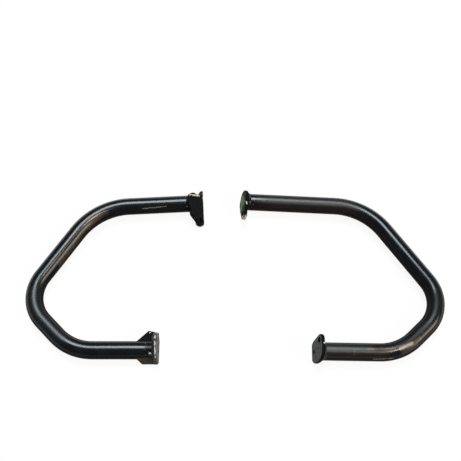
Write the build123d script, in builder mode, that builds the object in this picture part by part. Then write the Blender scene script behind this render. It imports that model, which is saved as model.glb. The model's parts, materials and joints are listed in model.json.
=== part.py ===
from build123d import *

import os
from math import acos, atan2, cos, degrees, radians, sin, sqrt, tan

# A pair of motorcycle engine crash bars, laid flat as a set with their mounting plates facing
# each other. +X runs from the left bar to the right bar, +Y from the lower arms to the upper
# arms, and +Z is up from the surface that the bars lie on. Millimetres and degrees throughout.

# Tube: outside diameter, wall, and the centre-line radius of each bend
TUBE_DIAMETER = 25.4
TUBE_WALL = 2.0
UPPER_BEND_RADIUS = 95.0
OUTER_BEND_RADIUS = 54.0
LOWER_BEND_RADIUS = 73.0

# Runs of the centre line between the corners of its bends, and the turn at each corner
LEFT_UPPER_RUN = 154.5
LEFT_RAKE_RUN = 176.5
LEFT_RETURN_RUN = 105.0
LEFT_LOWER_RUN = 123.0
LEFT_UPPER_TURN = 54.0
LEFT_OUTER_TURN = 78.0
LEFT_LOWER_TURN = 45.0

RIGHT_UPPER_RUN = 187.5
RIGHT_RAKE_RUN = 191.0
RIGHT_RETURN_RUN = 101.5
RIGHT_LOWER_RUN = 120.5
RIGHT_UPPER_TURN = 52.5
RIGHT_OUTER_TURN = 81.5
RIGHT_LOWER_TURN = 44.0

# How far each upper arm falls away from the X direction on its way out
LEFT_DROOP = 3.0
RIGHT_DROOP = 3.0

# Layout of the set: the space between the two upper faces, and how far back the right bar lies
FACE_GAP = 67.5
RIGHT_SETBACK = 2.5

# Mounting plates: a disc round the tube end, with a margin round its weld and an ear for one bolt,
# cut flat on the underside
PLATE_THICKNESS = 5.0
LEFT_UPPER_MARGIN = 0.4
LEFT_LOWER_MARGIN = 5.3
RIGHT_UPPER_MARGIN = 2.5
RIGHT_LOWER_MARGIN = 2.5
RIGHT_LOWER_RAISE = 7.5
EAR_LAND = 4.25
EDGE_BREAK = 0.6
BOLT_HOLE_DIAMETER = 8.5
LEFT_UPPER_BOLT_GAP = 9.5
LEFT_LOWER_BOLT_GAP = 0.5
RIGHT_UPPER_BOLT_GAP = 4.8
RIGHT_LOWER_BOLT_GAP = 0.5
DRAIN_DIAMETER = 6.0
DRAIN_DROP = 6.0

# Left upper plate: the blunt corner above its ear, and the pointed spur on the other side
CORNER_RISE = 9.2
CORNER_REACH = 9.8
CORNER_RADIUS = 3.0
SPUR_REACH = 11.5
SPUR_RISE = 0.8
SPUR_RADIUS = 1.5
SPUR_ROOT_INSET = 4.0
SPUR_ROOT_RISE = 5.5
SPUR_ROOT_RADIUS = 6.0

# Lean of each mating face, upwards from square to its tube
LEFT_UPPER_LEAN = 37.0
LEFT_LOWER_LEAN = 4.0
RIGHT_UPPER_LEAN = 14.5
RIGHT_LOWER_LEAN = 16.0

# Angle of each ear, upwards from the inside of the loop
LEFT_UPPER_EAR_ANGLE = -18.0
LEFT_LOWER_EAR_ANGLE = 60.0
RIGHT_UPPER_EAR_ANGLE = 11.0
RIGHT_LOWER_EAR_ANGLE = 52.0

# Fillet weld round each tube end, which stops short of the flat underside
WELD_LEG = 2.0
WELD_TOE = 0.5
WELD_STOP = 6.0

# Triangular webs of the left lower plate, the gusset inside the loop and the brace outside it. Each
# slopes down and away from the tube, sunk a little below the plane that would touch the tube. It
# reaches furthest beyond the tube at its tip, which stands off the plate, and meets the plate at its heel.
WEB_THICKNESS = 4.5
WEB_CORNER = 2.0
WEB_MARGIN = 1.5
GUSSET_SLOPE = 20.0
GUSSET_SINK = 4.2
GUSSET_TUBE_LEG = 25.0
GUSSET_TIP = 9.0
GUSSET_REACH = 15.1
GUSSET_HEEL = 10.9
GUSSET_LAND = 3.5
BRACE_SLOPE = 57.0
BRACE_SINK = 0.3
BRACE_TUBE_LEG = 26.0
BRACE_TIP = 17.0
BRACE_REACH = 2.7
BRACE_HEEL = 2.7

# Plug pressed into the open bore of the right upper plate
PLUG_THICKNESS = 4.0
PLUG_RECESS = 0.6
PLUG_CLEARANCE = 0.1
PLUG_EDGE = 1.0

TUBE_RADIUS = TUBE_DIAMETER / 2
BORE_RADIUS = TUBE_RADIUS - TUBE_WALL
BOLT_HOLE_RADIUS = BOLT_HOLE_DIAMETER / 2
EAR_RADIUS = BOLT_HOLE_RADIUS + EAR_LAND
DRAIN_RADIUS = DRAIN_DIAMETER / 2
CUT_REACH = 3 * TUBE_DIAMETER
UP = Vector(0, 0, 1)


def centre_line_corners(side, start, droop, runs, turns):
    """Corner points of one bar's centre line, from its upper face round to its lower face."""
    heading = Vector(side, 0).rotate(Axis.Z, -side * droop)
    corners = [start]
    for run, turn in zip(runs, (*turns, 0)):
        corners.append(corners[-1] + heading * run)
        heading = heading.rotate(Axis.Z, -side * turn)
    return corners


class TubeEnd:
    """Where one tube end meets its plate: the planes of the plate, and the bolt's place on it."""

    def __init__(self, corners, lean, ear_angle, bolt_gap):
        """The end at the first of the corners, with the bar's other end at the last."""
        self.tip = corners[0]
        self.out = (corners[0] - corners[1]).normalized()
        self.lean = lean
        lean_axis = Axis((0, 0, 0), self.out.cross(UP))
        normal = self.out.rotate(lean_axis, lean)
        self.face = Plane(self.tip, x_dir=UP.rotate(lean_axis, lean), z_dir=normal)
        self.back = self.face.offset(-PLATE_THICKNESS)
        # The plane's Y axis points into the loop at two of the four ends, and out of it at the others
        self.inward = 1 if self.face.y_dir.dot(corners[-1] - self.tip) > 0 else -1
        # The tube's section along the leaning plate is an ellipse, and its axis meets the plate's
        # back face this much further up than the mating face
        self.long_radius = TUBE_RADIUS / cos(radians(lean))
        self.stretch = self.long_radius - TUBE_RADIUS
        self.rise = PLATE_THICKNESS * tan(radians(lean))
        reach = TUBE_RADIUS + WELD_LEG + bolt_gap + BOLT_HOLE_RADIUS
        self.bolt_up = self.rise + reach * sin(radians(ear_angle))
        self.bolt_in = reach * cos(radians(ear_angle))

    def spot(self, up, inwards):
        """A point on the plate, from the tube's axis at the mating face."""
        return Vector(up, self.inward * inwards)

    def underside(self):
        """Distance from the tube's axis down the mating face to the flat edge of the plate."""
        return (TUBE_RADIUS - PLATE_THICKNESS * sin(radians(self.lean))) / cos(radians(self.lean))


def bent_tube(corners, upper, lower):
    """One tube bent round three corners, with each end cut to the back of its leaning plate."""
    first = corners[0] + upper.out * TUBE_DIAMETER
    last = corners[-1] + lower.out * TUBE_DIAMETER
    with BuildPart() as tube:
        with BuildLine():
            FilletPolyline(
                first,
                *corners[1:-1],
                last,
                radius=[UPPER_BEND_RADIUS, OUTER_BEND_RADIUS, LOWER_BEND_RADIUS],
            )
        with BuildSketch(Plane(first, z_dir=-upper.out)):
            Circle(TUBE_RADIUS)
            Circle(BORE_RADIUS, mode=Mode.SUBTRACT)
        sweep()
        for end in (upper, lower):
            with BuildSketch(end.back):
                Circle(CUT_REACH)
            extrude(amount=CUT_REACH, mode=Mode.SUBTRACT)
    return tube.part


def bearing(vector):
    """Direction of a vector in its sketch, in degrees from the sketch's X axis."""
    return degrees(atan2(vector.Y, vector.X))


def draw_belt(circles):
    """The arcs and tangents of a belt stretched round circles, each given as (centre, radius)."""
    middle = sum((centre for centre, radius in circles), Vector()) / len(circles)
    ring = sorted(circles, key=lambda circle: bearing(circle[0] - middle))
    pairs = list(zip(ring, ring[1:] + ring[:1]))
    leaving = []
    for (centre, radius), (next_centre, next_radius) in pairs:
        across = next_centre - centre
        turn = degrees(acos((radius - next_radius) / across.length))
        leaving.append(across.normalized().rotate(Axis.Z, -turn))
    arriving = leaving[-1:] + leaving[:-1]
    for ((centre, radius), (next_centre, next_radius)), arrive, leave in zip(pairs, arriving, leaving):
        CenterArc(centre, radius, bearing(arrive), (bearing(leave) - bearing(arrive)) % 360)
        Line(centre + leave * radius, next_centre + leave * next_radius)


def mounting_plate(end, margin, centre_hole=0, centre_hole_drop=0, extra=0, lands=(), spur=()):
    """A plate with a bolt ear and perhaps a hole inside the tube. Its disc may be drawn out upwards by
    an extra height, and lands and a spur may be added, as (centre, radius) circles."""
    # A leaning plate's disc is drawn out as far as the tube's section is, up and down from its middle
    disc_heights = {end.rise - end.stretch, end.rise + end.stretch + extra}
    discs = [(Vector(height, 0), TUBE_RADIUS + WELD_LEG + margin) for height in disc_heights]
    bolt = end.spot(end.bolt_up, end.bolt_in)
    with BuildPart() as plate:
        with BuildSketch(end.face):
            with BuildLine():
                draw_belt([*discs, (bolt, EAR_RADIUS), *lands])
            make_face()
            if spur:
                with BuildLine():
                    draw_belt(spur)
                make_face()
        extrude(amount=-PLATE_THICKNESS)
        rims = plate.faces().filter_by(Axis(end.tip, end.face.z_dir)).edges()
        chamfer(rims, length=EDGE_BREAK)
        with BuildSketch(end.face):
            with Locations(bolt):
                Circle(BOLT_HOLE_RADIUS)
            if centre_hole:
                with Locations((end.rise - centre_hole_drop, 0)):
                    Circle(centre_hole)
            with Locations((-end.underside(), 0)):
                Rectangle(CUT_REACH, 2 * CUT_REACH, align=(Align.MAX, Align.CENTER))
        extrude(amount=-PLATE_THICKNESS, mode=Mode.SUBTRACT)
    return plate.part


def blunt_corner(end):
    """The corner of the left upper plate above its ear, as (centre, radius)."""
    return (end.spot(end.rise + CORNER_RISE, TUBE_RADIUS + CORNER_REACH), CORNER_RADIUS)


def pointed_spur(end):
    """The tip and the root of the left upper plate's spur, each as (centre, radius)."""
    tip = end.spot(SPUR_RISE - end.underside(), -TUBE_RADIUS - SPUR_REACH)
    root = end.spot(SPUR_ROOT_RISE - end.underside(), SPUR_ROOT_INSET - TUBE_RADIUS)
    return [(tip, SPUR_RADIUS), (root, SPUR_ROOT_RADIUS)]


def weld_bead(end):
    """The fillet weld between a plate's back and the tube, cut off above the flat underside."""
    toe_plane = end.back.offset(-WELD_LEG)
    toe_rise = end.rise + WELD_LEG * tan(radians(end.lean))
    with BuildPart() as bead:
        with BuildSketch(end.back):
            with Locations((end.rise, 0)):
                Ellipse(end.long_radius + WELD_LEG, TUBE_RADIUS + WELD_LEG)
        with BuildSketch(toe_plane):
            with Locations((toe_rise, 0)):
                Ellipse(end.long_radius + WELD_TOE, TUBE_RADIUS + WELD_TOE)
        loft(ruled=True)
        with BuildSketch(Plane(end.tip, z_dir=end.out)):
            Circle(TUBE_RADIUS)
        extrude(amount=CUT_REACH, both=True, mode=Mode.SUBTRACT)
        split(bisect_by=Plane.XY.offset(WELD_STOP), keep=Keep.TOP)
    return bead.part


def gusset_land(end):
    """The part of the plate that the gusset's heel stands on, as (centre, radius)."""
    slope = radians(GUSSET_SLOPE)
    top = TUBE_RADIUS - GUSSET_SINK
    heel = TUBE_RADIUS + GUSSET_HEEL
    heel_up = (top - WEB_THICKNESS / 2) * cos(slope) - heel * sin(slope)
    heel_in = top * sin(slope) + heel * cos(slope)
    return (end.spot(heel_up, heel_in + WEB_MARGIN - GUSSET_LAND), GUSSET_LAND)


def corner_web(end, bead, side, slope, sink, tube_leg, tip, reach, heel):
    """A web in the corner of tube and plate, fitted round the weld, inside the loop (1) or outside (-1)."""
    away = end.face.y_dir * end.inward * side
    normal = away * sin(radians(slope)) + UP * cos(radians(slope))
    foot = end.tip - end.out * (PLATE_THICKNESS / cos(radians(end.lean)))
    top = TUBE_RADIUS - sink
    web_plane = Plane(foot + normal * top, x_dir=-end.out, z_dir=normal)
    downhill = 1 if web_plane.y_dir.dot(away) > 0 else -1
    at_tube = sqrt(TUBE_RADIUS**2 - top**2)
    tip_corner = (tip, downhill * (TUBE_RADIUS + reach))
    with BuildPart() as web:
        with BuildSketch(web_plane):
            with BuildLine():
                Polyline(
                    (-PLATE_THICKNESS, 0),
                    (-PLATE_THICKNESS, downhill * (TUBE_RADIUS + heel)),
                    tip_corner,
                    (tube_leg, downhill * at_tube),
                    (tube_leg, 0),
                    close=True,
                )
            make_face()
        extrude(amount=-WEB_THICKNESS)
        tip_edge = web.edges().filter_by(Axis(foot, normal)).sort_by_distance(
            web_plane.from_local_coords((*tip_corner, 0))
        )[0]
        fillet(tip_edge, radius=WEB_CORNER)
        with BuildSketch(Plane(end.tip, z_dir=end.out)):
            Circle(TUBE_RADIUS)
        extrude(amount=CUT_REACH, both=True, mode=Mode.SUBTRACT)
        with BuildSketch(end.back):
            Circle(CUT_REACH)
        extrude(amount=CUT_REACH, mode=Mode.SUBTRACT)
        add(bead, mode=Mode.SUBTRACT)
    return web.part


def bore_plug(end):
    """A push-in plug with a bevelled rim, set a little below the mating face."""
    with BuildPart() as plug:
        with BuildSketch(end.face.offset(-PLUG_RECESS)):
            with Locations((end.rise, 0)):
                Circle(BORE_RADIUS - PLUG_CLEARANCE)
        extrude(amount=-PLUG_THICKNESS)
        front = plug.faces().filter_by(GeomType.PLANE).sort_by(Axis(end.tip, end.face.z_dir))[-1]
        chamfer(front.edges(), length=PLUG_EDGE)
    return plug.part


left_corners = centre_line_corners(
    -1,
    Vector(-FACE_GAP / 2, 0, TUBE_RADIUS),
    LEFT_DROOP,
    (LEFT_UPPER_RUN, LEFT_RAKE_RUN, LEFT_RETURN_RUN, LEFT_LOWER_RUN),
    (LEFT_UPPER_TURN, LEFT_OUTER_TURN, LEFT_LOWER_TURN),
)
right_corners = centre_line_corners(
    1,
    Vector(FACE_GAP / 2, RIGHT_SETBACK, TUBE_RADIUS),
    RIGHT_DROOP,
    (RIGHT_UPPER_RUN, RIGHT_RAKE_RUN, RIGHT_RETURN_RUN, RIGHT_LOWER_RUN),
    (RIGHT_UPPER_TURN, RIGHT_OUTER_TURN, RIGHT_LOWER_TURN),
)

left_upper = TubeEnd(left_corners, LEFT_UPPER_LEAN, LEFT_UPPER_EAR_ANGLE, LEFT_UPPER_BOLT_GAP)
left_lower = TubeEnd(left_corners[::-1], LEFT_LOWER_LEAN, LEFT_LOWER_EAR_ANGLE, LEFT_LOWER_BOLT_GAP)
right_upper = TubeEnd(right_corners, RIGHT_UPPER_LEAN, RIGHT_UPPER_EAR_ANGLE, RIGHT_UPPER_BOLT_GAP)
right_lower = TubeEnd(right_corners[::-1], RIGHT_LOWER_LEAN, RIGHT_LOWER_EAR_ANGLE, RIGHT_LOWER_BOLT_GAP)

left_lower_bead = weld_bead(left_lower)

pieces = {
    "left_tube": bent_tube(left_corners, left_upper, left_lower),
    "left_upper_plate": mounting_plate(
        left_upper,
        LEFT_UPPER_MARGIN,
        lands=[blunt_corner(left_upper)],
        spur=pointed_spur(left_upper),
    ),
    "left_upper_weld": weld_bead(left_upper),
    "left_lower_plate": mounting_plate(
        left_lower,
        LEFT_LOWER_MARGIN,
        centre_hole=DRAIN_RADIUS,
        centre_hole_drop=DRAIN_DROP,
        lands=[gusset_land(left_lower)],
    ),
    "left_lower_weld": left_lower_bead,
    "left_lower_gusset": corner_web(
        left_lower,
        left_lower_bead,
        1,
        GUSSET_SLOPE,
        GUSSET_SINK,
        GUSSET_TUBE_LEG,
        GUSSET_TIP,
        GUSSET_REACH,
        GUSSET_HEEL,
    ),
    "left_lower_brace": corner_web(
        left_lower,
        left_lower_bead,
        -1,
        BRACE_SLOPE,
        BRACE_SINK,
        BRACE_TUBE_LEG,
        BRACE_TIP,
        BRACE_REACH,
        BRACE_HEEL,
    ),
    "right_tube": bent_tube(right_corners, right_upper, right_lower),
    "right_upper_plate": mounting_plate(right_upper, RIGHT_UPPER_MARGIN, centre_hole=BORE_RADIUS),
    "right_upper_weld": weld_bead(right_upper),
    "right_upper_plug": bore_plug(right_upper),
    "right_lower_plate": mounting_plate(
        right_lower,
        RIGHT_LOWER_MARGIN,
        centre_hole=DRAIN_RADIUS,
        centre_hole_drop=DRAIN_DROP,
        extra=RIGHT_LOWER_RAISE,
    ),
    "right_lower_weld": weld_bead(right_lower),
}

# The set is centred on the origin, and stands on Z = 0
box = Compound(list(pieces.values())).bounding_box()
to_origin = Location((-box.center().X, -box.center().Y, -box.min.Z))

os.makedirs("parts", exist_ok=True)
for label, piece in pieces.items():
    placed = piece.moved(to_origin)
    placed.label = label
    export_step(placed, f"parts/{label}.step")
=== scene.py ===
import json
from math import acos, asin, copysign, cos, pi, radians, sin

import bmesh
import bpy
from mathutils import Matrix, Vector


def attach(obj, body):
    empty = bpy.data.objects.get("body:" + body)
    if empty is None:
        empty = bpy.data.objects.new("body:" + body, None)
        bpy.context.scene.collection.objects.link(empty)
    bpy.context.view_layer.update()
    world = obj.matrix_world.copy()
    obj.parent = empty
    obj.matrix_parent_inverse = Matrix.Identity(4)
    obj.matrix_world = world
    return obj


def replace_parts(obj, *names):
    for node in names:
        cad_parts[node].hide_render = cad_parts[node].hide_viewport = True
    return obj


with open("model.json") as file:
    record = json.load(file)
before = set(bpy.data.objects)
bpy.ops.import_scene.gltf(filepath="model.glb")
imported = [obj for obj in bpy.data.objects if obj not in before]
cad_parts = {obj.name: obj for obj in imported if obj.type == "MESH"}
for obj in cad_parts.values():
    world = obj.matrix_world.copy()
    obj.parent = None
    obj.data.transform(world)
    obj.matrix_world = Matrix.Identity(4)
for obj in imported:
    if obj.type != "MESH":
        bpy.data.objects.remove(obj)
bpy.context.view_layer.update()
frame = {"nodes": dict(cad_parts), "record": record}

# A set of two black crash bars on a pale studio floor. Metres and degrees, in the frame's own axes.
UP = Vector((0, 0, 1))

# Camera, which looks along +Y and down
CAMERA_AIM = Vector((-0.0062, 0.0665, 0.0127))
CAMERA_DISTANCE = 1.125
CAMERA_ELEVATION = 66.0
CAMERA_LENS_MM = 58.2
SENSOR_MM = 36.0

# Lights, each a soft round disc far away. Its bearing turns from +X towards +Y
LIGHTS = {
    "cool_key": {
        "bearing": 91, "elevation": 64, "width": 29, "strength": 2.4, "colour": (0.84, 0.96, 1.0),
    },
    "warm_lamp": {
        "bearing": -25, "elevation": 72, "width": 14, "strength": 0.95, "colour": (1.0, 0.80, 0.66),
    },
    "warm_wall": {
        "bearing": -20, "elevation": 33, "width": 28, "strength": 1.0, "colour": (1.0, 0.88, 0.78),
    },
}
SKY_COLOUR = (0.040, 0.043, 0.047, 1)
HORIZON_COLOUR = (0.6, 0.6, 0.6, 1)
HORIZON_LOW = 0.0
HORIZON_HIGH = 0.08

# Floor
FLOOR_SIZE = 80.0
FLOOR_DROP = 0.0002
FLOOR_COLOUR = (0.96, 0.96, 0.96, 1)
FLOOR_LIFT = 0.92

# Sizes of the bars that the frame's record doesn't state
TUBE_RADIUS = 0.0127
PLATE_THICKNESS = 0.005

# Weld beads: where they stop over the floor, their ripples, and how they taper at both ends
WELD_STOP = 0.006
WELD_ROOT = 0.0003
WELD_PITCH = 0.0028
WELD_RIPPLE = 0.00035
WELD_CHEVRON = 0.55
WELD_SCALLOP = 0.7
WELD_TAPER = 0.0025
WELD_TAPER_POWER = 0.5
WELD_END_SHARE = 0.35
WELD_STEPS = 260
WELD_ROWS = 12
WELD_SHAPES = {
    "left_upper": {"tube_leg": 0.002, "plate_leg": 0.002, "crown": 0.0006},
    "left_lower": {"tube_leg": 0.002, "plate_leg": 0.002, "crown": 0.0006},
    "right_upper": {"tube_leg": 0.0045, "plate_leg": 0.0038, "crown": -0.0004},
    "right_lower": {"tube_leg": 0.006, "plate_leg": 0.0042, "crown": -0.0003},
}

# The plug's domed head, as radius and height over the plate's face, and its shift towards the ear
PLUG_HEAD = ((0.0, 0.0009), (0.0059, 0.0008), (0.0073, 0.0005), (0.0084, 0.0013), (0.0106, 0.0014),
             (0.0118, 0.0009), (0.0122, 0.0002), (0.0122, -0.0003), (0.0, -0.0003))
PLUG_SHIFT = 0.0025
PLUG_STEPS = 72
SAME_POINT = 0.000003

# Colours of the tubes
PAINT = (0.0055, 0.0066, 0.0082, 1)
PAINT_WORN = (0.0095, 0.0108, 0.0125, 1)
# Grime with painted shade on faces turned down; on the right bar it is brown, a painted reflection
GRIME_AND_SHADE_GREY = (0.0055, 0.0053, 0.0053, 1)
GRIME_AND_REFLECTION_BROWN = (0.013, 0.0085, 0.0068, 1)
DUST_BROWN = (0.052, 0.036, 0.028, 1)
DUST_GREY = (0.020, 0.020, 0.020, 1)
# Bare metal of chips, also the colour of pale weld spatter and of painted glints
BARE_METAL_AND_GLINT = (0.62, 0.60, 0.58, 1)
SCUFF_GREY = (0.16, 0.155, 0.145, 1)
SCUFF_PALE = (0.27, 0.255, 0.24, 1)
SPECKLE_BROWN = (0.10, 0.062, 0.045, 1)
# Painted warm highlight on the right lower bend, partly worn paint
BRONZE_WEAR_AND_HIGHLIGHT = (0.42, 0.36, 0.31, 1)
# Painted warm reflections, brown and dim
WARM_REFLECTION_BROWN = (0.090, 0.063, 0.047, 1)
DIM_WARM_REFLECTION = (0.050, 0.038, 0.031, 1)

# Colours of the plates, webs and plug
# Pale primer, also the colour of a painted highlight and a painted glint on the left upper plate
PRIMER_AND_HIGHLIGHT_PALE = (0.58, 0.51, 0.48, 1)
PLATE_BLACK = (0.0050, 0.0054, 0.0062, 1)
PLATE_BLACK_WORN = (0.0085, 0.0088, 0.0095, 1)
PLATE_BROWN = (0.042, 0.034, 0.029, 1)
# A lighter brown, which on the right upper plate's face is a painted reflection
PLATE_BROWN_LIGHTER = (0.060, 0.050, 0.043, 1)
# Tones of the right lower plate's face, lighter than its black sides: painted reflection
PLATE_GREY_REFLECTION = (0.060, 0.069, 0.075, 1)
PLATE_PALE_REFLECTION = (0.140, 0.128, 0.118, 1)
PLUG_GREEN = (0.055, 0.165, 0.040, 1)
PLUG_PALE = (0.20, 0.40, 0.17, 1)
PLUG_DARK = (0.012, 0.030, 0.010, 1)

# Sheen, as a tint on the tubes and as a level on the webs and the plug
SHEEN_FULL = (1, 1, 1, 1)
# Sheen cut along some lines; on the right bar's bends this is painted shade
SHEEN_CUT = (0.30, 0.29, 0.28, 1)
# Painted shade: the sheen cut on faces turned down
SHEEN_SHADED_BELOW = (0.05, 0.048, 0.045, 1)
WEB_SHEEN = 0.05
PLUG_SHEEN = 0.1

# Noise patterns, as scale, detail and roughness
MOTTLE = (38.0, 4.0, 0.6)
# This noise spreads grime and painted shade on faces turned down
GRIME_AND_SHADE_NOISE = (120.0, 5.0, 0.65)
# This noise spreads pale weld spatter, which also paints glints
SPATTER_AND_GLINTS = (480.0, 3.0, 0.6)
FINE_RAG = (500.0, 4.0, 0.6)
COARSE_RAG = (300.0, 4.0, 0.6)
FINE_GRAIN = (330.0, 5.0, 0.65)
COARSE_GRAIN = (150.0, 5.0, 0.65)
CHIPPING = (260.0, 4.0, 0.5)
PLUG_SCUFF = (300.0, 4.0, 0.6)
PLUG_DIRT = (180.0, 3.0, 0.5)
NOISE_MIDDLE = 0.5

# Spans of a noise over which what it drives goes from none to full
MOTTLE_SPAN = (0.35, 0.75)
# Span of the noise for grime and painted shade
GRIME_AND_SHADE_SPAN = (0.2, 0.7)
# Span of the noise for spatter and painted glints
SPATTER_AND_GLINTS_SPAN = (0.66, 0.70)
GRAIN_SPAN = (0.38, 0.62)
FEW_CHIPS = (0.70, 0.76)
SOME_CHIPS = (0.65, 0.71)
# The many chips on the left lower plate also paint the highlight along its front edge
CHIPS_AND_EDGE_HIGHLIGHT = (0.45, 0.51)
PLUG_SCUFF_SPAN = (0.5, 0.72)
PLUG_DIRT_SPAN = (0.52, 0.62)

# Spans of how squarely a surface faces up, or faces the way its plate does
LOW_SPAN = (0.74, 0.48)
FACE_SPAN = (0.90, 0.97)

# Spans of a distance: from a tube's end, in front of a plate's face, and from a bolt hole's middle
# Reach of the spatter and painted glints from a tube's end
SPATTER_AND_GLINTS_REACH = (0.021, 0.0168)
CHIP_REACH = (-0.002, -0.0012)
HOLE_SHADE = (0.0095, 0.010925)

# Roughness, as a span of noise and the roughness at its start and stop
PAINT_ROUGHNESS = (0.3, 0.8, 0.19, 0.23)
PLATE_ROUGHNESS = (0.3, 0.7, 0.45, 0.6)
PLUG_ROUGHNESS = (0.3, 0.7, 0.35, 0.55)

# How much dust covers the paint and roughens it, how rough low parts are, and the plug's bump
DUST_COVER = 0.08
DUST_ROUGHNESS = 0.17
LOW_ROUGHNESS = 0.85
PLUG_BUMP_DISTANCE = 0.0002
PLUG_BUMP_STRENGTH = 0.2

# Edges of marks and of dull places, as shares of the mark's half width or of the place's reach
RAG_SHARE = 5
MARK_NONE_SHARE = 1.2
MARK_FULL_SHARE = 0.8
DULL_FULL_SHARE = 1 / 3

# Wear, painted glints, painted highlights, painted reflections and painted shade on the left bar, each
# mark along a line between two points of the surface, with half its width
LEFT_SCRATCH = ((-0.139, 0.0988, 0.0217), (-0.104, 0.1021, 0.0229), 0.0007)
# Painted warm reflections on the left bend and rake
LEFT_RAKE_REFLECTION = ((-0.220, 0.0698, 0.0218), (-0.2572, 0.010, 0.0183), 0.006)
LEFT_BEND_REFLECTION = ((-0.2043, 0.0863, 0.0237), (-0.220, 0.0698, 0.0218), 0.0075)
LEFT_BEND_REFLECTION_FADE = ((-0.2043, 0.0863, 0.0237), (-0.1935, 0.0920, 0.0237), 0.006)
# Painted glint on the left lower weld
LEFT_WELD_GLINT = ((-0.1190, -0.1252, 0.0232), (-0.1170, -0.1255, 0.0231), 0.0013)
# Painted highlight along the left upper plate's far edge, in the colour of pale primer
LEFT_UPPER_EDGE_HIGHLIGHT = ((-0.070, 0.1178, 0.032), (-0.054, 0.1265, 0.010), 0.0011)
LEFT_UPPER_SPUR = ((-0.050, 0.140, 0.004), (-0.050, 0.134, 0.004), 0.005)
# Painted glint near the left upper plate's edge
LEFT_UPPER_GLINT = ((-0.049, 0.126, 0.003), (-0.049, 0.1235, 0.003), 0.0014)
LEFT_EAR_NOTCH = ((-0.114, -0.1054, 0.020), (-0.1126, -0.1093, 0.034), 0.0008)
# Painted shade: a rough brown patch that dims the face at the left lower plate's ear top
LEFT_EAR_SHADE = ((-0.1103, -0.0985, 0.0300), (-0.1103, -0.0975, 0.0280), 0.004)
# A rough brown patch at the left lower plate's foot
LEFT_FOOT_PATCH = ((-0.1090, -0.1355, 0.020), (-0.113, -0.138, 0.014), 0.007)
# A chip on the gusset's top, which is also a painted glint
GUSSET_CHIP_AND_GLINT = ((-0.1203, -0.0922, 0.0123), (-0.1188, -0.0907, 0.0118), 0.0011)

# Wear, painted glints, painted highlights and painted reflections on the right bar
RIGHT_SCUFF = ((0.193, -0.1325, 0.0185), (0.221, -0.131, 0.019), 0.0006)
RIGHT_SPECKLE = ((0.186, -0.1195, 0.0254), (0.222, -0.119, 0.0254), 0.0012)
RIGHT_RING = ((0.1662, -0.1215, 0.0253), (0.1661, -0.1277, 0.0232), 0.0006)
# Painted warm highlight on the right lower bend, partly worn paint, with its fade and a painted brown
# reflection beside it
RIGHT_BEND_WEAR_AND_HIGHLIGHT = ((0.231, -0.119, 0.0252), (0.2475, -0.1117, 0.0250), 0.0040)
RIGHT_BEND_HIGHLIGHT_FADE = ((0.2475, -0.1117, 0.025), (0.260, -0.1042, 0.0245), 0.0040)
RIGHT_BEND_BROWN_REFLECTION = ((0.236, -0.1235, 0.0230), (0.256, -0.1130, 0.0230), 0.0065)
# Painted glint on the right upper weld
RIGHT_UPPER_GLINT = ((0.0179, 0.1065, 0.0292), (0.0187, 0.102, 0.0292), 0.0009)
RIGHT_UPPER_EAR = ((0.010, 0.082, 0.018), (0.022, 0.082, 0.020), 0.0055)
# Painted glint on the right lower weld
RIGHT_LOWER_GLINT = ((0.125, -0.1097, 0.022), (0.1232, -0.1136, 0.036), 0.0012)
# Painted warm reflection at the foot of the right lower weld
RIGHT_LOWER_WARM_REFLECTION = ((0.1239, -0.1335, 0.0125), (0.1225, -0.130, 0.022), 0.0035)

# Parts of the tubes with a weaker sheen, or with dust that dulls them, each along a line, out to a reach.
# On the right bar's bends the weaker sheen is painted shade
LEFT_WEAK_SHEEN = [((-0.119, -0.118, 0.0254), (-0.113, -0.118, 0.0254), 0.010)]
LEFT_DULL = [((-0.297, -0.055, 0.02), (-0.262, -0.09, 0.02), 0.045)]
RIGHT_SHADED_SHEEN = [
    ((0.300, -0.036, 0.0245), (0.243, -0.106, 0.0245), 0.016),
    ((0.243, -0.106, 0.0245), (0.200, -0.114, 0.0245), 0.012),
]
RIGHT_DULL = [
    ((0.07, 0.112, 0.02), (0.16, 0.107, 0.02), 0.045),
    ((0.115, -0.12, 0.02), (0.185, -0.121, 0.02), 0.045),
    *RIGHT_SHADED_SHEEN,
]

# Looks of the tubes. Marks have ragged edges, and painted reflections and highlights have soft ones. Grime
# with painted shade lies on faces turned down
TUBES = {
    "left": {
        "grime_and_shade": GRIME_AND_SHADE_GREY,
        "dust": DUST_GREY,
        "dull": LEFT_DULL,
        "sheen_cut": LEFT_WEAK_SHEEN,
        "marks": [
            (LEFT_SCRATCH, SCUFF_GREY),
            (LEFT_WELD_GLINT, BARE_METAL_AND_GLINT),
        ],
        "painted_reflections": [
            (LEFT_RAKE_REFLECTION, DIM_WARM_REFLECTION),
            (LEFT_BEND_REFLECTION_FADE, DIM_WARM_REFLECTION),
            (LEFT_BEND_REFLECTION, WARM_REFLECTION_BROWN),
        ],
    },
    "right": {
        "grime_and_shade": GRIME_AND_REFLECTION_BROWN,
        "dust": DUST_BROWN,
        "dull": RIGHT_DULL,
        "sheen_cut": RIGHT_SHADED_SHEEN,
        "marks": [
            (RIGHT_SPECKLE, SPECKLE_BROWN),
            (RIGHT_SCUFF, SCUFF_PALE),
            (RIGHT_RING, PLATE_BROWN_LIGHTER),
            (RIGHT_UPPER_GLINT, BARE_METAL_AND_GLINT),
            (RIGHT_LOWER_GLINT, BARE_METAL_AND_GLINT),
            (RIGHT_LOWER_WARM_REFLECTION, PLATE_BROWN_LIGHTER),
        ],
        "painted_reflections": [
            (RIGHT_BEND_BROWN_REFLECTION, DIM_WARM_REFLECTION),
            (RIGHT_BEND_HIGHLIGHT_FADE, WARM_REFLECTION_BROWN),
            (RIGHT_BEND_WEAR_AND_HIGHLIGHT, BRONZE_WEAR_AND_HIGHLIGHT),
        ],
    },
}

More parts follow.
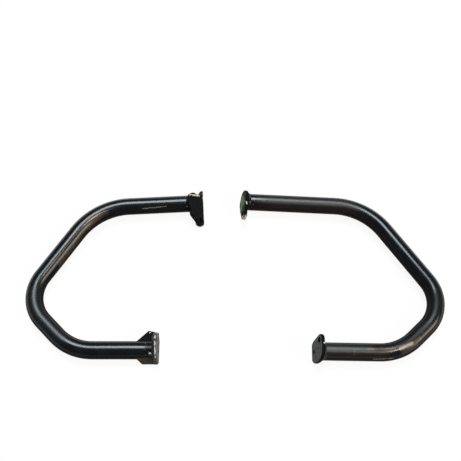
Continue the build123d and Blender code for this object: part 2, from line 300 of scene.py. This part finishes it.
# Looks of the plates. The tones are those of the face; on the right plates they are lighter than the black
# sides as a painted reflection. The rough brown patches lie at the left lower plate's foot and, as painted
# shade, at its ear's top
PLATES = {
    "left_upper": {
        "tones": (PLATE_BLACK, PLATE_BLACK_WORN),
        "grain": COARSE_GRAIN,
        "sheen": 0.02,
        "chips": SOME_CHIPS,
        "marks": [
            (LEFT_UPPER_SPUR, PLATE_BROWN),
            (LEFT_UPPER_EDGE_HIGHLIGHT, PRIMER_AND_HIGHLIGHT_PALE),
            (LEFT_UPPER_GLINT, PRIMER_AND_HIGHLIGHT_PALE),
        ],
        "grime_and_shade": [],
    },
    "left_lower": {
        "tones": (PLATE_BLACK, PLATE_BROWN),
        "grain": COARSE_GRAIN,
        "sheen": 0.5,
        "chips": CHIPS_AND_EDGE_HIGHLIGHT,
        "marks": [(LEFT_EAR_NOTCH, BARE_METAL_AND_GLINT)],
        "grime_and_shade": [LEFT_FOOT_PATCH, LEFT_EAR_SHADE],
    },
    "right_upper": {
        "tones": (PLATE_BROWN, PLATE_BROWN_LIGHTER),
        "grain": COARSE_GRAIN,
        "sheen": 0.01,
        "chips": FEW_CHIPS,
        "marks": [
            (RIGHT_UPPER_EAR, PRIMER_AND_HIGHLIGHT_PALE),
            (RIGHT_UPPER_GLINT, BARE_METAL_AND_GLINT),
        ],
        "grime_and_shade": [],
    },
    "right_lower": {
        "tones": (PLATE_GREY_REFLECTION, PLATE_PALE_REFLECTION),
        "grain": FINE_GRAIN,
        "sheen": 0.02,
        "chips": FEW_CHIPS,
        "marks": [(RIGHT_LOWER_GLINT, BARE_METAL_AND_GLINT)],
        "grime_and_shade": [],
    },
}

# Looks of the two webs at the left lower plate
WEBS = {
    "gusset": {"tones": (PLATE_BLACK, PLATE_BLACK_WORN), "marks": [(GUSSET_CHIP_AND_GLINT, BARE_METAL_AND_GLINT)]},
    "brace": {"tones": (PLATE_BROWN, PLATE_BROWN_LIGHTER), "marks": []},
}

# Places of the colours among the sockets of Blender's mix node
MIX_FIRST = 6
MIX_SECOND = 7
MIX_RESULT = 2


class TubeEnd:
    """Where one tube end meets its mounting plate, worked out from the frame.

    The axis points out of the plate's face, out is level along the tube, across is level over the
    plate and up climbs it. The tip and the back are where the tube's middle line meets the plate's
    face and its back. The slope is how much the plate's lean stretches the tube's section.
    """

    def __init__(self, name):
        mounts = {mount["name"]: mount for mount in frame["record"]["mounts"]}
        seat = mounts[name + "_seat"]
        self.bolt = Vector(mounts[name + "_bolt"]["pos_m"])
        self.axis = Vector(seat["axis"]).normalized()
        self.out = Vector((self.axis.x, self.axis.y, 0)).normalized()
        self.across = Vector((-self.out.y, self.out.x, 0))
        self.up = self.axis.cross(self.across)
        weld = frame["nodes"][name + "_weld"].data
        places = [vertex.co.dot(self.across) for vertex in weld.vertices]
        side = (min(places) + max(places)) / 2
        centre = self.across * side + UP * TUBE_RADIUS
        to_face = (Vector(seat["pos_m"]) - centre).dot(self.axis) / self.out.dot(self.axis)
        self.slope = 1 / cos(asin(self.axis.z))
        self.tip = centre + self.out * to_face
        self.back = self.tip - self.out * PLATE_THICKNESS * self.slope
        self.long_radius = TUBE_RADIUS * self.slope

    def ring(self, centre, angle, grow):
        """A point of the tube's section along the plate, grown by a margin."""
        rise = self.up * (self.long_radius + grow) * cos(angle)
        return centre + rise + self.across * (TUBE_RADIUS + grow) * sin(angle)


ends = {name: TubeEnd(name) for name in PLATES}


class Graph:
    """The node tree of one material, with short ways to add nodes and join them."""

    def __init__(self, name):
        self.material = bpy.data.materials.new(name)
        self.material.use_nodes = True
        self.tree = self.material.node_tree
        self.shader = self.tree.nodes["Principled BSDF"]
        self.place = self.add("ShaderNodeTexCoord").outputs["Object"]
        geometry = self.add("ShaderNodeNewGeometry").outputs
        self.normal = geometry["Normal"]
        self.flat_normal = geometry["True Normal"]

    def add(self, kind, **settings):
        node = self.tree.nodes.new(kind)
        for name, value in settings.items():
            setattr(node, name, value)
        return node

    def feed(self, socket, value):
        """Join a socket to another node's output, or set it to a constant."""
        if isinstance(value, bpy.types.NodeSocket):
            self.tree.links.new(value, socket)
        else:
            socket.default_value = value

    def set(self, **values):
        """Feed the shader's sockets, named with underscores for spaces."""
        for name, value in values.items():
            self.feed(self.shader.inputs[name.replace("_", " ")], value)

    def math(self, operation, first, second, clamp=False):
        node = self.add("ShaderNodeMath", operation=operation, use_clamp=clamp)
        self.feed(node.inputs[0], first)
        self.feed(node.inputs[1], second)
        return node.outputs[0]

    def vector(self, operation, first, second):
        node = self.add("ShaderNodeVectorMath", operation=operation)
        self.feed(node.inputs[0], first)
        self.feed(node.inputs[1], second)
        return node.outputs["Value" if operation in ("DOT_PRODUCT", "DISTANCE") else "Vector"]

    def ramp(self, value, start, stop, low=0.0, high=1.0):
        """A smooth step of a value, from low at start to high at stop."""
        node = self.add("ShaderNodeMapRange", interpolation_type="SMOOTHSTEP")
        for socket, item in zip(node.inputs, (value, start, stop, low, high)):
            self.feed(socket, item)
        return node.outputs[0]

    def noise(self, pattern):
        node = self.add("ShaderNodeTexNoise")
        self.feed(node.inputs["Vector"], self.place)
        for name, value in zip(("Scale", "Detail", "Roughness"), pattern):
            self.feed(node.inputs[name], value)
        return node.outputs["Fac"]

    def mix(self, factor, first, second):
        """A blend of two colours, all of the first at 0 and all of the second at 1."""
        node = self.add("ShaderNodeMix", data_type="RGBA")
        self.feed(node.inputs["Factor"], factor)
        self.feed(node.inputs[MIX_FIRST], first)
        self.feed(node.inputs[MIX_SECOND], second)
        return node.outputs[MIX_RESULT]

    def bump(self, height, distance, strength):
        node = self.add("ShaderNodeBump")
        self.feed(node.inputs["Height"], height)
        self.feed(node.inputs["Distance"], distance)
        self.feed(node.inputs["Strength"], strength)
        return node.outputs["Normal"]

    def from_line(self, start, stop):
        """Distance from the line between two points."""
        start = Vector(start)
        run = Vector(stop) - start
        offset = self.vector("SUBTRACT", self.place, start)
        along = self.vector("DOT_PRODUCT", offset, run)
        share = self.math("DIVIDE", along, run.length_squared, clamp=True)
        return self.vector("DISTANCE", offset, self.vector("MULTIPLY", run, share))

    def over_face(self, end):
        """Distance in front of a plate's face, which is negative inside the plate."""
        return self.vector("DOT_PRODUCT", self.vector("SUBTRACT", self.place, end.tip), end.axis)

    def mark(self, line, rag):
        """1 on a mark along a line, with edges that a noise makes ragged, and 0 away from it."""
        start, stop, width = line
        unevenness = self.math("SUBTRACT", self.noise(rag), NOISE_MIDDLE)
        ragged = self.math("MULTIPLY", unevenness, width * RAG_SHARE)
        distance = self.math("ADD", self.from_line(start, stop), ragged)
        return self.ramp(distance, width * MARK_NONE_SHARE, width * MARK_FULL_SHARE)

    def soft_mark(self, line):
        """1 on a line, fading smoothly to 0 at the mark's half width."""
        start, stop, width = line
        return self.ramp(self.from_line(start, stop), width, 0.0)

    def spread(self, lines):
        """1 near any of some lines, fading to 0 at the reach of each."""
        cover = 0.0
        for start, stop, reach in lines:
            near = self.ramp(self.from_line(start, stop), reach, reach * DULL_FULL_SHARE)
            cover = self.math("MAXIMUM", cover, near)
        return cover

    def two_tone(self, patch, tones):
        """Two colours, mingled as the patches of a noise."""
        return self.mix(self.ramp(patch, *GRAIN_SPAN), *tones)

    def marked(self, colour, marks, rag):
        """A colour with ragged marks painted over it."""
        for line, paint in marks:
            colour = self.mix(self.mark(line, rag), colour, paint)
        return colour


def tube_paint(side, grime_and_shade, dust, dull, sheen_cut, marks, painted_reflections):
    """Semi-gloss black paint, less glossy where it faces down, with grime and painted shade there that is
    brown on the right bar as a painted reflection; with weld spatter near its ends that also paints
    glints, and with painted warm reflections and highlights.
    """
    graph = Graph(side + "_black_paint")
    mottle = graph.noise(MOTTLE)
    tone = graph.mix(graph.ramp(mottle, *MOTTLE_SPAN), PAINT, PAINT_WORN)
    low = graph.ramp(graph.vector("DOT_PRODUCT", graph.normal, UP), *LOW_SPAN)
    # Grime and painted shade on faces turned down, brown on the right bar as a painted reflection
    grime_and_shade_mask = graph.math("MULTIPLY", graph.ramp(graph.noise(GRIME_AND_SHADE_NOISE), *GRIME_AND_SHADE_SPAN), low)
    dusty = graph.spread(dull)
    colour = graph.mix(graph.math("MULTIPLY", dusty, DUST_COVER), graph.mix(grime_and_shade_mask, tone, grime_and_shade), dust)
    for name, end in ends.items():
        if name.startswith(side):
            # Pale weld spatter near the tube's ends, which also paints glints there
            near = graph.ramp(graph.vector("DISTANCE", graph.place, end.back), *SPATTER_AND_GLINTS_REACH)
            spatter_and_glint = graph.math("MULTIPLY", near, graph.ramp(graph.noise(SPATTER_AND_GLINTS), *SPATTER_AND_GLINTS_SPAN))
            colour = graph.mix(spatter_and_glint, colour, BARE_METAL_AND_GLINT)
    colour = graph.marked(colour, marks, FINE_RAG)
    # Painted warm reflections and highlights, with soft edges
    for line, paint in painted_reflections:
        colour = graph.mix(graph.soft_mark(line), colour, paint)
    roughness = graph.ramp(mottle, *PAINT_ROUGHNESS)
    roughness = graph.math("ADD", roughness, graph.math("MULTIPLY", dusty, DUST_ROUGHNESS))
    roughness = graph.math("MAXIMUM", roughness, graph.math("MULTIPLY", low, LOW_ROUGHNESS))
    # Sheen cut along some lines, which is painted shade on the right bar's bends, and cut on faces turned
    # down as painted shade
    sheen = graph.mix(graph.spread(sheen_cut), SHEEN_FULL, SHEEN_CUT)
    graph.set(Base_Color=colour, Roughness=roughness, Specular_Tint=graph.mix(low, sheen, SHEEN_SHADED_BELOW))
    return graph.material


def plate_paint(name, tones, grain, sheen, chips, marks, grime_and_shade):
    """Matt black paint on a plate, its face in its own tones, lighter on the right plates as a painted
    reflection, with chips along the front edge of its side and rough brown patches.
    """
    graph = Graph(name + "_paint")
    end = ends[name]
    patch = graph.noise(grain)
    side_tone = graph.two_tone(patch, (PLATE_BLACK, PLATE_BLACK_WORN))
    # The face's tones, lighter than the black side on the right plates as a painted reflection
    face_tone = graph.two_tone(patch, tones)
    on_face = graph.ramp(graph.vector("DOT_PRODUCT", graph.flat_normal, end.axis), *FACE_SPAN)
    on_side = graph.math("SUBTRACT", 1.0, on_face)
    edge = graph.math("MULTIPLY", graph.ramp(graph.over_face(end), *CHIP_REACH), on_side)
    chip = graph.math("MULTIPLY", edge, graph.ramp(graph.noise(CHIPPING), *chips))
    colour = graph.mix(chip, graph.mix(on_face, side_tone, face_tone), BARE_METAL_AND_GLINT)
    colour = graph.marked(colour, marks, COARSE_RAG)
    roughness = graph.ramp(patch, *PLATE_ROUGHNESS)
    # Rough brown patches: at the left lower plate's foot, and at its ear's top as painted shade
    for line in grime_and_shade:
        cover = graph.mark(line, COARSE_RAG)
        colour = graph.mix(cover, colour, PLATE_BROWN)
        roughness = graph.math("MAXIMUM", roughness, cover)
    graph.set(Base_Color=colour, Roughness=roughness, Specular_IOR_Level=sheen)
    return graph.material


def web_paint(name, tones, marks):
    """Matt paint on a web, in two mingled tones."""
    graph = Graph(name + "_paint")
    patch = graph.noise(COARSE_GRAIN)
    graph.set(
        Base_Color=graph.marked(graph.two_tone(patch, tones), marks, COARSE_RAG),
        Roughness=graph.ramp(patch, *PLATE_ROUGHNESS),
        Specular_IOR_Level=WEB_SHEEN,
    )
    return graph.material


def plug_plastic():
    """Green moulded plastic, paler where it is scuffed, with patches of dark dirt."""
    graph = Graph("green_plastic")
    scuff = graph.noise(PLUG_SCUFF)
    clean = graph.mix(graph.ramp(scuff, *PLUG_SCUFF_SPAN), PLUG_GREEN, PLUG_PALE)
    dirty = graph.ramp(graph.noise(PLUG_DIRT), *PLUG_DIRT_SPAN)
    graph.set(
        Base_Color=graph.mix(dirty, clean, PLUG_DARK),
        Roughness=graph.ramp(scuff, *PLUG_ROUGHNESS),
        Specular_IOR_Level=PLUG_SHEEN,
        Normal=graph.bump(scuff, PLUG_BUMP_DISTANCE, PLUG_BUMP_STRENGTH),
    )
    return graph.material


def add_mesh(name, points, faces, material):
    mesh = bpy.data.meshes.new(name)
    mesh.from_pydata([tuple(point) for point in points], [], faces)
    mesh.update()
    mesh.materials.append(material)
    for polygon in mesh.polygons:
        polygon.use_smooth = True
    piece = bpy.data.objects.new(name, mesh)
    bpy.context.scene.collection.objects.link(piece)
    return piece


def weld_bead(name, end, material, tube_leg, plate_leg, crown):
    """A hand-laid bead with overlapping ripples, from one side of the tube over its top to the other."""
    stop = acos((WELD_STOP - TUBE_RADIUS) / TUBE_RADIUS)
    length = 2 * stop * (TUBE_RADIUS + plate_leg / 2)
    toe = end.back - end.out * tube_leg * end.slope
    last = end.ring(end.back, -stop, plate_leg)
    travelled = 0.0
    points = []
    for step in range(WELD_STEPS + 1):
        angle = stop * (2 * step / WELD_STEPS - 1)
        on_plate = end.ring(end.back, angle, plate_leg)
        on_tube = end.ring(toe, angle, 0.0)
        root = end.ring(end.back, angle, -WELD_ROOT) + end.axis * WELD_ROOT
        travelled += (on_plate - last).length
        last = on_plate
        from_end = min(step, WELD_STEPS - step) / WELD_STEPS * length
        fade = min(1.0, from_end / WELD_TAPER) ** WELD_TAPER_POWER
        size = WELD_END_SHARE + (1 - WELD_END_SHARE) * fade
        outward = (on_plate - end.ring(end.back, angle, 0.0)).normalized()
        lift = (outward - end.axis).normalized()
        for row in range(WELD_ROWS + 1):
            share = row / WELD_ROWS
            swell = sin(pi * share)
            phase = travelled / WELD_PITCH + WELD_CHEVRON * (2 * share - 1) ** 2
            ripple = abs(sin(pi * phase)) ** WELD_SCALLOP
            corner = root + (on_plate.lerp(on_tube, share) - root) * size
            points.append(corner + lift * swell * fade * (crown + WELD_RIPPLE * (ripple - 1)))
        points.append(root)
    ring = WELD_ROWS + 2
    faces = []
    for step in range(WELD_STEPS):
        for row in range(ring):
            first = step * ring + row
            second = step * ring + (row + 1) % ring
            faces.append((first, second, second + ring, first + ring))
    faces.append(tuple(range(ring - 1, -1, -1)))
    faces.append(tuple(range(WELD_STEPS * ring, (WELD_STEPS + 1) * ring)))
    piece = add_mesh(name, points, faces, material)
    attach(piece, "root")
    return piece


def plug_head(name, end, material):
    """The plug's round head on the plate's face, with a raised lip round a hollow."""
    shift = copysign(PLUG_SHIFT, (end.bolt - end.tip).dot(end.across))
    centre = end.tip + end.across * shift
    points = []
    faces = []
    rows = len(PLUG_HEAD)
    for step in range(PLUG_STEPS):
        angle = 2 * pi * step / PLUG_STEPS
        spoke = end.up * cos(angle) + end.across * sin(angle)
        following = (step + 1) % PLUG_STEPS
        for row, (radius, height) in enumerate(PLUG_HEAD):
            points.append(centre + spoke * radius + end.axis * height)
            if row + 1 < rows:
                here = step * rows + row
                there = following * rows + row
                faces.append((here, here + 1, there + 1, there))
    piece = add_mesh(name, points, faces, material)
    join_points(piece)
    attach(piece, "root")
    return piece


def join_points(piece):
    """Join the points of a mesh that lie on each other, and turn its faces outwards."""
    form = bmesh.new()
    form.from_mesh(piece.data)
    bmesh.ops.remove_doubles(form, verts=form.verts, dist=SAME_POINT)
    bmesh.ops.recalc_face_normals(form, faces=form.faces)
    form.to_mesh(piece.data)
    form.free()


def add_sun(name, bearing, elevation, width, strength, colour):
    data = bpy.data.lights.new(name, "SUN")
    data.angle = radians(width)
    data.energy = strength
    data.color = colour
    lamp = bpy.data.objects.new(name, data)
    turn = radians(bearing)
    rise = radians(elevation)
    towards = Vector((cos(rise) * cos(turn), cos(rise) * sin(turn), sin(rise)))
    lamp.rotation_euler = towards.to_track_quat("Z", "Y").to_euler()
    bpy.context.scene.collection.objects.link(lamp)


def add_floor():
    """A pale matt floor, lifted towards white where it is seen, but left in shade under the bolt holes."""
    graph = Graph("floor")
    path = graph.add("ShaderNodeLightPath").outputs
    seen = graph.math("MAXIMUM", path["Is Camera Ray"], path["Is Glossy Ray"])
    seen = graph.math("MAXIMUM", seen, path["Is Transmission Ray"])
    lift = graph.math("MULTIPLY", seen, FLOOR_LIFT)
    for end in ends.values():
        from_hole = graph.vector("DISTANCE", graph.place, end.bolt)
        lift = graph.math("MULTIPLY", lift, graph.ramp(from_hole, *HOLE_SHADE))
    glow = graph.add("ShaderNodeEmission")
    blend = graph.add("ShaderNodeMixShader")
    graph.feed(blend.inputs[0], lift)
    graph.feed(blend.inputs[1], graph.shader.outputs[0])
    graph.feed(blend.inputs[2], glow.outputs[0])
    graph.feed(graph.tree.nodes["Material Output"].inputs["Surface"], blend.outputs[0])
    graph.set(Base_Color=FLOOR_COLOUR, Roughness=1.0, Specular_IOR_Level=0.0)
    half = FLOOR_SIZE / 2
    level = -FLOOR_DROP
    corners = [(-half, -half, level), (half, -half, level), (half, half, level), (-half, half, level)]
    add_mesh("floor", corners, [(0, 1, 2, 3)], graph.material)


def add_world():
    """A dim sky over a pale band at the horizon."""
    world = bpy.data.worlds.new("studio")
    bpy.context.scene.world = world
    world.use_nodes = True
    tree = world.node_tree
    coordinates = tree.nodes.new("ShaderNodeTexCoord")
    height = tree.nodes.new("ShaderNodeSeparateXYZ")
    band = tree.nodes.new("ShaderNodeMapRange")
    colour = tree.nodes.new("ShaderNodeMix")
    colour.data_type = "RGBA"
    tree.links.new(coordinates.outputs["Generated"], height.inputs[0])
    tree.links.new(height.outputs["Z"], band.inputs["Value"])
    band.inputs["From Min"].default_value = HORIZON_LOW
    band.inputs["From Max"].default_value = HORIZON_HIGH
    tree.links.new(band.outputs[0], colour.inputs["Factor"])
    colour.inputs[MIX_FIRST].default_value = HORIZON_COLOUR
    colour.inputs[MIX_SECOND].default_value = SKY_COLOUR
    tree.links.new(colour.outputs[MIX_RESULT], tree.nodes["Background"].inputs["Color"])


def add_camera():
    data = bpy.data.cameras.new("camera")
    data.lens = CAMERA_LENS_MM
    data.sensor_width = SENSOR_MM
    camera = bpy.data.objects.new("camera", data)
    down = radians(CAMERA_ELEVATION)
    camera.location = CAMERA_AIM + Vector((0, -cos(down), sin(down))) * CAMERA_DISTANCE
    camera.rotation_euler = (pi / 2 - down, 0, 0)
    bpy.context.scene.collection.objects.link(camera)
    bpy.context.scene.camera = camera


# Paint on the CAD nodes
blacks = {side: tube_paint(side, **look) for side, look in TUBES.items()}
finishes = {name + "_plate": plate_paint(name, **look) for name, look in PLATES.items()}
for name, look in WEBS.items():
    finishes["left_lower_" + name] = web_paint(name, **look)
for name, node in frame["nodes"].items():
    side = name.split("_")[0]
    node.data.materials.clear()
    node.data.materials.append(finishes.get(name, blacks[side]))

# Welds and plug
for name, end in ends.items():
    side = name.split("_")[0]
    bead = weld_bead(name + "_bead", end, blacks[side], **WELD_SHAPES[name])
    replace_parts(bead, name + "_weld")
green = plug_plastic()
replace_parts(plug_head("right_upper_plug_head", ends["right_upper"], green), "right_upper_plug")

# Studio
add_floor()
for name, light in LIGHTS.items():
    add_sun(name, **light)
add_world()
add_camera()
bpy.context.scene.view_settings.view_transform = "Standard"
